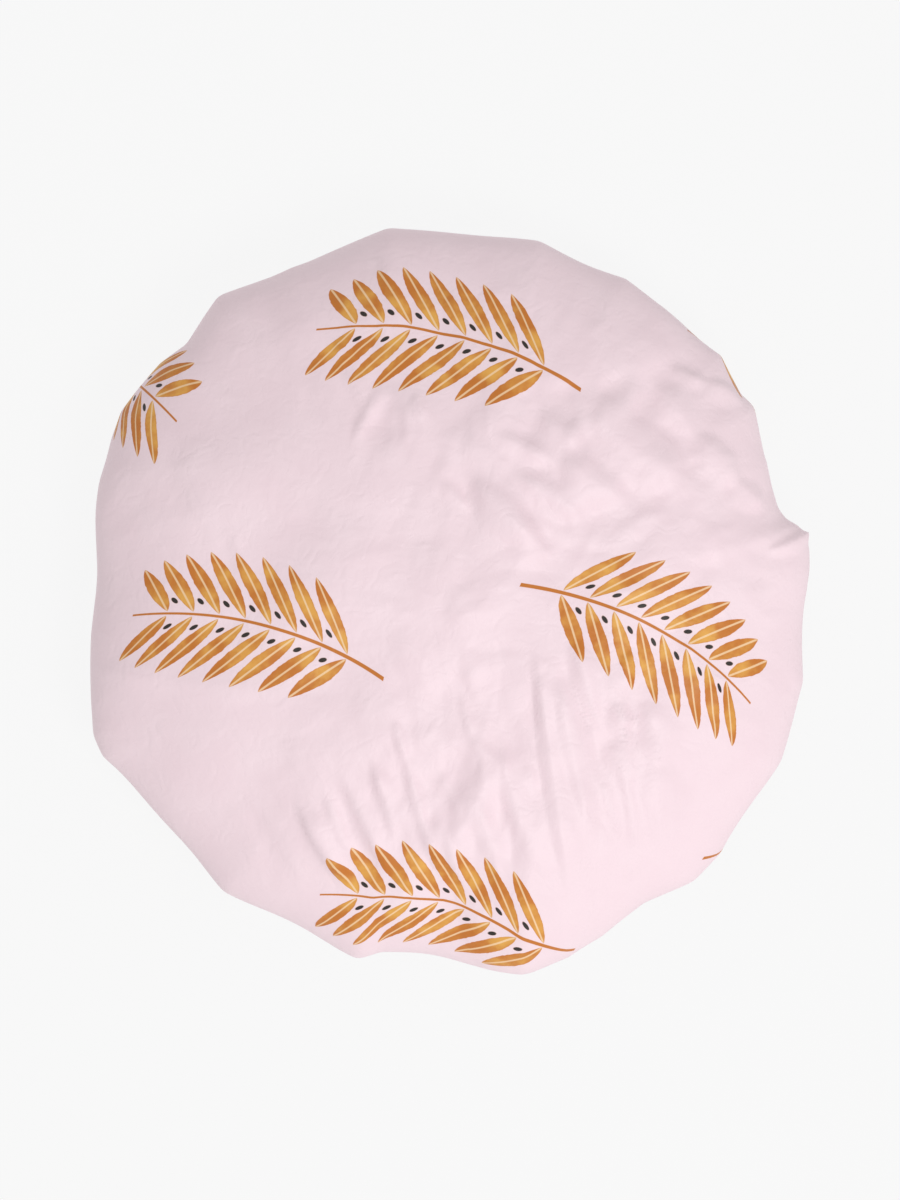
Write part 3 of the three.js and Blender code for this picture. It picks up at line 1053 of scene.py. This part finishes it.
@dataclass(frozen=True)
class CoverFinish:
    """Coated pink cloth with a soft sheen and the sprig print."""

    cut_width: float  # metres
    pink: tuple[int, int, int] = (243, 222, 228)
    deep: tuple[int, int, int] = (238, 214, 221)
    creases: float = 110.0  # in a metre
    crinkle_depth: float = 0.7  # mm
    gloss: Point = (0.44, 0.16)  # least roughness, and how much more the dull places have
    specular: float = 0.45

    def material(self) -> bpy.types.Material:
        """Build the material.

        Returns:
            The material.
        """
        finish = Finish("cover_cloth", self.gloss[0])
        sheet = finish.sheet
        chart = sheet.add("ShaderNodeUVMap", uv_map=CLOTH_UV)
        cloth = sheet.add("ShaderNodeVectorMath", operation="SCALE")
        sheet.feed(cloth.inputs[0], chart.outputs["UV"])
        cloth.inputs["Scale"].default_value = self.cut_width / MM
        print_node = sheet.add("ShaderNodeGroup", node_tree=SprigPrint().tree())
        sheet.feed(print_node.inputs["Cloth"], cloth.outputs[0])
        crinkle = finish.crinkle(self.creases)
        ground = sheet.mix(crinkle.outputs["Tone"], colour(*self.deep), colour(*self.pink))
        finish.colour(sheet.mix(print_node.outputs["Cover"], ground, print_node.outputs["Ink"]))
        finish.roughness(sheet.math("MULTIPLY_ADD", crinkle.outputs["Tone"], self.gloss[1], self.gloss[0]))
        finish.bump(crinkle.outputs["Height"], self.crinkle_depth * MM)
        finish.shader.inputs["Specular IOR Level"].default_value = self.specular
        return finish.material


@dataclass(frozen=True)
class LiningFinish:
    """White waterproof film, a little glossy and crinkled."""

    white: tuple[int, int, int] = (244, 239, 241)
    shade: tuple[int, int, int] = (234, 228, 231)
    creases: float = 140.0  # in a metre
    crinkle_depth: float = 0.5  # mm
    gloss: Point = (0.2, 0.2)  # least roughness, and how much more the dull places have

    def material(self) -> bpy.types.Material:
        """Build the material.

        Returns:
            The material.
        """
        finish = Finish("lining_film", self.gloss[0])
        crinkle = finish.crinkle(self.creases)
        tone = crinkle.outputs["Tone"]
        finish.colour(finish.sheet.mix(tone, colour(*self.shade), colour(*self.white)))
        finish.roughness(finish.sheet.math("MULTIPLY_ADD", tone, self.gloss[1], self.gloss[0]))
        finish.bump(crinkle.outputs["Height"], self.crinkle_depth * MM)
        return finish.material


@dataclass(frozen=True)
class WovenFinish:
    """A narrow woven or braided piece that runs round the cap, with painted shade in the low places of its
    weave.
    """

    name: str
    # light goes on the threads' tops and dark into the weave's low places, as painted shade
    light: tuple[int, int, int]
    dark: tuple[int, int, int]
    pitch: float  # of its threads, mm
    depth: float  # of the weave, mm
    roughness: float = 0.6

    def material(self) -> bpy.types.Material:
        """Build the material.

        Returns:
            The material.
        """
        finish = Finish(self.name, self.roughness)
        sheet = finish.sheet
        place = sheet.add("ShaderNodeSeparateXYZ")
        sheet.feed(place.inputs[0], finish.place)
        flat = sheet.math("SQRT", sheet.math("ADD", sheet.math("POWER", place.outputs["X"], 2.0),
                                             sheet.math("POWER", place.outputs["Y"], 2.0)))
        angle = sheet.math("ARCTAN2", place.outputs["Y"], place.outputs["X"])
        weave = sheet.add("ShaderNodeGroup", node_tree=WeaveGroup.tree())
        rise = sheet.math("ADD", flat, place.outputs["Z"])
        sheet.feed(weave.inputs["Across"], sheet.math("DIVIDE", rise, 2 * self.pitch * MM))
        turns = round(math.tau * 70 / (2 * self.pitch))
        sheet.feed(weave.inputs["Along"], sheet.math("MULTIPLY", angle, turns / math.tau))
        worn = sheet.noise(finish.place, 160.0, 3.0)
        # Painted shade: the weave's low places between threads are painted darker, mixed with a random worn
        # tone.
        shade = sheet.math("MULTIPLY_ADD", weave.outputs["Height"], 0.6, sheet.math("MULTIPLY", worn, 0.5))
        finish.colour(sheet.mix(shade, colour(*self.dark), colour(*self.light)))
        finish.bump(weave.outputs["Height"], self.depth * MM, 0.6)
        return finish.material


@dataclass(frozen=True)
class ThreadFinish:
    """Twisted sewing thread, with painted shade in the grooves of its ply."""

    # light goes on the strands and dark into the grooves between them, as painted shade
    light: tuple[int, int, int] = (236, 208, 217)
    dark: tuple[int, int, int] = (208, 171, 184)
    twist: float = 900.0  # turns of the ply in a metre

    def material(self) -> bpy.types.Material:
        """Build the material.

        Returns:
            The material.
        """
        finish = Finish("sewing_thread", 0.5)
        sheet = finish.sheet
        ply = sheet.add("ShaderNodeTexWave", bands_direction="DIAGONAL")
        sheet.feed(ply.inputs["Vector"], finish.place)
        ply.inputs["Scale"].default_value = self.twist
        ply.inputs["Distortion"].default_value = 1.0
        # Painted shade: the ply's diagonal bands darken the grooves between the twisted strands.
        finish.colour(sheet.mix(ply.outputs["Fac"], colour(*self.dark), colour(*self.light)))
        finish.bump(ply.outputs["Fac"], 0.0001, 0.5)
        return finish.material


@dataclass
class HemBinding:
    """The folded tape round the hem: a soft tube over the elastic and a flat sewn edge."""

    form: CapForm
    gathers: Gathers
    wall: float = 0.5  # mm
    steps: int = 576
    lobes: int = 64
    lobe_depth: float = 1.1  # how far the tube swells between its gathers, mm
    tape_length: float = 0.62  # metres, before the elastic draws it in

    @property
    def inner(self) -> float:
        """Radius of the tube's folded side, between its gathers."""
        return node_radii("hem_binding")[0] + 1.2 * MM

    def spine(self) -> Array:
        """Lay out the middle of the tape across the hem, from its lower edge round to its upper one.

        Returns:
            Points as rows of radius and height, in metres.
        """
        outer = self.form.mouth
        sewn = node_radii("hem_needle_thread")[0]
        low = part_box("hem_needle_thread")[1].z + 0.45 * MM
        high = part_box("hem_bobbin_thread")[0].z - 0.45 * MM
        tube_out = node_radii("elastic_band")[1] + 0.3 * MM
        floor = self.wall * MM / 2
        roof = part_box("elastic_join_tack")[1].z + 0.45 * MM
        middle = (floor + roof) / 2
        side = self.inner + self.wall * MM / 2
        fold = [
            (side + 1.6 * MM, floor),
            (side + 0.5 * MM, floor + 0.5 * MM),
            (side, middle),
            (side + 0.5 * MM, roof - 0.5 * MM),
            (side + 1.6 * MM, roof),
        ]
        shoulder = [(tube_out - 1.0 * MM, roof), (tube_out + 0.5 * MM, roof - 0.9 * MM)]
        points = [(outer, low), (sewn, low), (tube_out + 0.9 * MM, low), (tube_out, floor), *fold]
        points += [*shoulder, (tube_out + 1.4 * MM, high), (sewn, high), (outer, high)]
        return np.array(points)

    def section(self) -> Array:
        """Give the spine its thickness.

        Returns:
            The closed outline of the tape's section, as rows of radius and height.
        """
        spine = self.spine()
        run = np.gradient(spine, axis=0)
        run /= np.linalg.norm(run, axis=1)[:, None]
        aside = np.stack([-run[:, 1], run[:, 0]], 1) * self.wall * MM / 2
        return np.concatenate([spine + aside, (spine - aside)[::-1]])

    def build(self) -> bpy.types.Object:
        """Spin the section round the cap and gather it.

        Returns:
            The finished tape.
        """
        section = self.section()
        bpy.ops.object.select_all(action="DESELECT")
        bpy.ops.mesh.primitive_circle_add(vertices=len(section), radius=1, fill_type="NOTHING")
        tape = bpy.context.object
        tape.name = "binding_tape"
        write_points(tape, np.stack([section[:, 0], np.zeros(len(section)), section[:, 1]], 1))
        bpy.ops.object.mode_set(mode="EDIT")
        bpy.ops.mesh.select_all(action="SELECT")
        bpy.ops.mesh.spin(steps=self.steps, angle=math.tau, center=(0, 0, 0), axis=(0, 0, 1))
        bpy.ops.mesh.select_all(action="SELECT")
        bpy.ops.mesh.remove_doubles(threshold=1e-6)
        bpy.ops.mesh.normals_make_consistent(inside=False)
        bpy.ops.object.mode_set(mode="OBJECT")
        write_points(tape, self.gather(read_points(tape)))
        return tape

    def gather(self, points: Array) -> Array:
        """Draw the plain ring into gathers.

        Args:
            points: The points of the plain ring.

        Returns:
            The gathered points.
        """
        radius = np.hypot(points[:, 0], points[:, 1])
        angle = np.arctan2(points[:, 1], points[:, 0])
        sewn = node_radii("hem_needle_thread")[0]
        tube = smooth((sewn - 1.5 * MM - radius) / (2.5 * MM))
        lobe = self.lobe_depth * MM * self.gathers.pleats(angle, self.lobes, 3.3)
        upper = smooth(points[:, 2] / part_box("hem_binding")[1].z / 0.6)
        inner = smooth((self.inner + 3.0 * MM - radius) / (3.0 * MM))
        radius = radius - lobe * tube * inner * upper
        height = points[:, 2] + lobe * tube * upper
        flat = smooth((radius - sewn + 3.5 * MM) / (3.0 * MM))
        height += self.gathers.ruffle(angle) * MM * flat
        return np.stack([radius * np.cos(angle), radius * np.sin(angle), np.maximum(height, 0)], 1)

    def dress(self, tape: bpy.types.Object, material: bpy.types.Material) -> None:
        """Args:
            tape: The built mesh.
            material: Its material.
        """
        finish_piece(tape, "hem_binding", material)
        spine = self.spine()


@dataclass
class ElasticBand:
    """The flat braided elastic in the hem, its two ends lapped and sewn."""

    ribs: int = 9
    rib_depth: float = 0.12  # mm
    steps: int = 360
    climb_share: float = 0.5862  # of the band's height, which its lapped end climbs
    lap: float = 16.0  # length of the lapped ends, mm
    slope: Point = (24.0, 20.0)  # how far before the lap the end starts to climb, and for how long, mm

    def build(self) -> bpy.types.Object:
        """Follow the construction's band, with ribs along its length.

        Returns:
            The finished band.
        """
        inner, outer = node_radii("elastic_band")
        low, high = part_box("elastic_band")
        climb = (high.z - low.z) * self.climb_share
        thick = (high.z - low.z) - climb
        count = 4 * self.ribs
        bpy.ops.object.select_all(action="DESELECT")
        bpy.ops.mesh.primitive_circle_add(vertices=2 * count, radius=1, fill_type="NGON")
        band = bpy.context.object
        band.name = "elastic_strip"
        share = np.linspace(0, 1, count)
        groove = self.rib_depth * MM * (0.5 - 0.5 * np.cos(share * self.ribs * math.tau))
        across = inner + (outer - inner) * share
        bottom = np.stack([across, np.zeros(count), low.z + self.rib_depth * MM - groove], 1)
        top = np.stack([across, np.zeros(count), low.z + thick - self.rib_depth * MM + groove], 1)
        write_points(band, np.concatenate([bottom, top[::-1]]))
        overlap = self.lap * MM / ((inner + outer) / 2)
        sweep = math.tau + overlap
        bpy.ops.object.mode_set(mode="EDIT")
        bpy.ops.mesh.select_all(action="SELECT")
        bpy.ops.mesh.spin(steps=self.steps, angle=1.0, center=(0, 0, 0), axis=(0, 0, 1))
        bpy.ops.object.mode_set(mode="OBJECT")
        points = read_points(band)
        turned = np.arctan2(points[:, 1], points[:, 0])
        radius = np.hypot(points[:, 0], points[:, 1])
        before, during = self.slope[0] * MM / inner, self.slope[1] * MM / inner
        ends = smooth((np.abs(turned) * sweep - (math.tau - before)) / during)
        angle = math.pi / 2 - overlap / 2 + np.abs(turned) * sweep
        raised = points[:, 2] + climb * ends
        write_points(band, np.stack([radius * np.cos(angle), radius * np.sin(angle), raised], 1))
        bpy.ops.object.mode_set(mode="EDIT")
        bpy.ops.mesh.select_all(action="SELECT")
        bpy.ops.mesh.normals_make_consistent(inside=False)
        bpy.ops.object.mode_set(mode="OBJECT")
        return band


@dataclass
class Sewing:
    """The rows of thread that hold the hem together."""

    gathers: Gathers
    stitch: float = 2.8  # mm from one needle hole to the next
    thread_share: float = 0.46  # half a thread's thickness, as a share of the construction's ring

    def tube(self, name: str, route: Sequence[Sequence[float]], radius: float) -> bpy.types.Object:
        """Lay one thread along a route.

        Args:
            name: The piece's name.
            route: Its points, in metres.
            radius: Half the thread's thickness, in metres.

        Returns:
            The thread as a mesh.
        """
        curve = bpy.data.curves.new(name, "CURVE")
        curve.dimensions = "3D"
        curve.bevel_depth = radius
        curve.bevel_resolution = 1
        curve.use_fill_caps = True
        curve.resolution_u = 4
        line = curve.splines.new("BEZIER")
        line.bezier_points.add(len(route) - 1)
        for knot, place in zip(line.bezier_points, route):
            knot.co = place
            knot.handle_left_type = knot.handle_right_type = "AUTO"
        thread = bpy.data.objects.new(name, curve)
        bpy.context.scene.collection.objects.link(thread)
        pick_only(thread)
        bpy.ops.object.convert(target="MESH")
        return bpy.context.object

    def row(self, name: str, node: str, side: Side) -> bpy.types.Object:
        """Sew a row of lockstitch round the hem.

        Args:
            name: The piece's name.
            node: The construction's ring of thread.
            side: The face of the hem that the row lies on.

        Returns:
            The row, each stitch of which dips into the tape at both its ends.
        """
        inner, outer = node_radii(node)
        low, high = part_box(node)
        thick = high.z - low.z
        ring = (inner + outer) / 2
        count = round(math.tau * ring / (self.stitch * MM))
        span = math.tau / count
        dip = -side.value * 0.6 * thick
        level = (low.z + high.z) / 2
        shares = (-0.47, -0.36, 0.0, 0.36, 0.47)
        sinks = (1.0, 0.25, 0.0, 0.25, 1.0)
        route = []
        for share, sink in zip(shares, sinks):
            turn = share * span
            route.append((ring * math.cos(turn), ring * math.sin(turn), level + dip * sink))
        first = self.tube(name, route, self.thread_share * thick)
        template = read_points(first)
        faces = [tuple(face.vertices) for face in first.data.polygons]
        points, polygons = [], []
        for k in range(count):
            turn = k * span
            cos, sin = math.cos(turn), math.sin(turn)
            signed = turn if turn <= math.pi else turn - math.tau
            lift = float(self.gathers.ruffle(np.array([signed]))[0]) * MM
            moved = np.stack([template[:, 0] * cos - template[:, 1] * sin,
                              template[:, 0] * sin + template[:, 1] * cos, template[:, 2] + lift], 1)
            polygons += [tuple(i + k * len(template) for i in face) for face in faces]
            points.append(moved)
        mesh = bpy.data.meshes.new(name)
        mesh.from_pydata(np.concatenate(points).tolist(), [], polygons)
        old = first.data
        first.data = mesh
        bpy.data.meshes.remove(old)
        return first

    def join_tack(self) -> bpy.types.Object:
        """Sew the zigzag over the elastic's lapped ends.

        Returns:
            The zigzag of thread.
        """
        low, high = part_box("elastic_join_tack")
        thick = high.z - low.z
        turns = 8
        route = []
        for k in range(turns + 1):
            share = k / turns
            y = high.y - thick if k % 2 else low.y + thick
            route.append((low.x + (high.x - low.x) * share, y, (low.z + high.z) / 2))
        return self.tube("elastic_tack", route, self.thread_share * thick)

    def end_seam(self) -> bpy.types.Object:
        """Sew the short row across the tape where its two ends meet.

        Returns:
            The row of thread.
        """
        low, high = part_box("binding_end_seam")
        thick = high.x - low.x
        top, foot = high.z - thick / 2, low.z + thick / 2
        span = high.y - low.y
        shares = (0.0, 0.3, 0.66, 0.8, 1.0)
        heights = (top, top, top, (top + foot) / 2, foot)
        route = [(0, low.y + span * share, height) for share, height in zip(shares, heights)]
        return self.tube("binding_end_stitches", route, self.thread_share * thick)


@dataclass(frozen=True)
class Studio:
    """The table, the light and the camera."""

    view_height: float = 0.468  # metres of table that the picture's long side shows at the rim
    distance: float = 1.6
    drop: float = 1.0  # how far the picture's middle lies in front of the cap's, mm
    sensor: float = 36.0
    background: int = 248
    key_power: float = 10.8
    key_height: float = 59.0  # degrees above the table
    fill: float = 0.64
    key_size: float = 0.6  # metres
    table: float = 6.0  # metres along each side of the table top
    glow: float = 0.95  # how much of the table's seen colour is its own
    rim: float = 0.027  # height of the cap's widest ring

    def floor(self) -> None:
        """Lay the pale table top, which keeps the cap's shadow."""
        bpy.ops.object.select_all(action="DESELECT")
        bpy.ops.mesh.primitive_plane_add(size=self.table)
        table = bpy.context.object
        table.name = "table_top"
        material = bpy.data.materials.new("table_top")
        material.use_nodes = True
        sheet = NodeSheet(material.node_tree)
        pale = colour(self.background, self.background, self.background)
        shader = material.node_tree.nodes["Principled BSDF"]
        shader.inputs["Base Color"].default_value = pale
        shader.inputs["Roughness"].default_value = 0.9
        shader.inputs["Specular IOR Level"].default_value = 0.0
        glow = sheet.add("ShaderNodeEmission")
        glow.inputs["Color"].default_value = pale
        path = sheet.add("ShaderNodeLightPath")
        seen = sheet.math("MAXIMUM", path.outputs["Is Camera Ray"], path.outputs["Is Glossy Ray"])
        seen = sheet.math("MAXIMUM", seen, path.outputs["Is Transmission Ray"])
        blend = sheet.add("ShaderNodeMixShader")
        sheet.feed(blend.inputs["Fac"], sheet.math("MULTIPLY", seen, self.glow))
        sheet.feed(blend.inputs[1], shader.outputs[0])
        sheet.feed(blend.inputs[2], glow.outputs[0])
        sheet.feed(material.node_tree.nodes["Material Output"].inputs["Surface"], blend.outputs[0])
        table.data.materials.append(material)

    def key_place(self) -> tuple[float, float, float]:
        """Find where the key light hangs.

        Returns:
            Its place, in metres.
        """
        height = math.radians(self.key_height)
        out = self.distance * math.cos(height)
        return out * LIGHT_SIDE[0], out * LIGHT_SIDE[1], self.distance * math.sin(height)

    def light(self) -> None:
        """Hang a soft key light at the lower right and fill the room evenly."""
        world = bpy.data.worlds.new("studio")
        bpy.context.scene.world = world
        world.use_nodes = True
        back = world.node_tree.nodes["Background"]
        back.inputs["Color"].default_value = (1, 1, 1, 1)
        back.inputs["Strength"].default_value = self.fill
        bpy.ops.object.select_all(action="DESELECT")
        bpy.ops.object.light_add(type="AREA", location=self.key_place())
        key = bpy.context.object
        key.name = "key_light"
        key.data.size = self.key_size
        key.data.energy = self.key_power
        aim = key.location.to_track_quat("Z", "Y")
        key.rotation_euler = aim.to_euler()

    def camera(self) -> None:
        """Hang the camera straight above the cap."""
        bpy.ops.object.select_all(action="DESELECT")
        bpy.ops.object.camera_add(location=(0, -self.drop * MM, self.distance), rotation=(0, 0, 0))
        eye = bpy.context.object
        eye.name = "camera"
        eye.data.sensor_width = self.sensor
        eye.data.lens = self.sensor * (self.distance - self.rim) / self.view_height
        eye.data.clip_end = 50
        bpy.context.scene.camera = eye

    def build(self) -> None:
        """Set up the whole studio."""
        bpy.context.scene.view_settings.view_transform = "Standard"
        self.floor()
        self.light()
        self.camera()


def main() -> None:
    """Set up the studio, then build the cap in it piece by piece."""
    logging.basicConfig(level=logging.INFO, format="%(name)s: %(message)s")
    form, gathers = CapForm.measured(), Gathers()
    Studio(rim=form.widest).build()
    cover = ClothDisc("cover_cloth", "outer_cover", Slot.COVER, form, gathers,
                      crown_rings=91, skirt_rings=20, wall=0.4,
                      folds=CROWN_FOLDS, crumples=(Crumples(), FRONT_PLEATS), swells=Swells())
    cover.dress(cover.build(), CoverFinish(2 * cover.cut_radius).material())
    lining = ClothDisc("lining_sheet", "inner_lining", Slot.LINING, form, gathers,
                       crown_rings=56, skirt_rings=24, wall=0.25, depth_crown=4.5, depth_hem=0.8,
                       crumples=(Crumples(count=500, seed=3),), swells=Swells(), play=(1.0, 0.8))
    lining.dress(lining.build(), LiningFinish().material())
    binding = HemBinding(form, gathers)
    tape = WovenFinish("binding_tape", (236, 211, 219), (219, 187, 198), pitch=0.45, depth=0.08)
    binding.dress(binding.build(), tape.material())
    braid = WovenFinish("braided_elastic", (246, 244, 240), (222, 219, 214),
                        pitch=0.6, depth=0.15, roughness=0.8)
    finish_piece(ElasticBand().build(), "elastic_band", braid.material())
    sewing, thread = Sewing(gathers), ThreadFinish().material()
    finish_piece(sewing.join_tack(), "elastic_join_tack", thread)
    for name, node, side in (("needle_stitches", "hem_needle_thread", Side.UNDER),
                             ("bobbin_stitches", "hem_bobbin_thread", Side.UPPER)):
        finish_piece(sewing.row(name, node, side), node, thread)
    finish_piece(sewing.end_seam(), "binding_end_seam", thread)


if __name__ == "__main__":
    main()
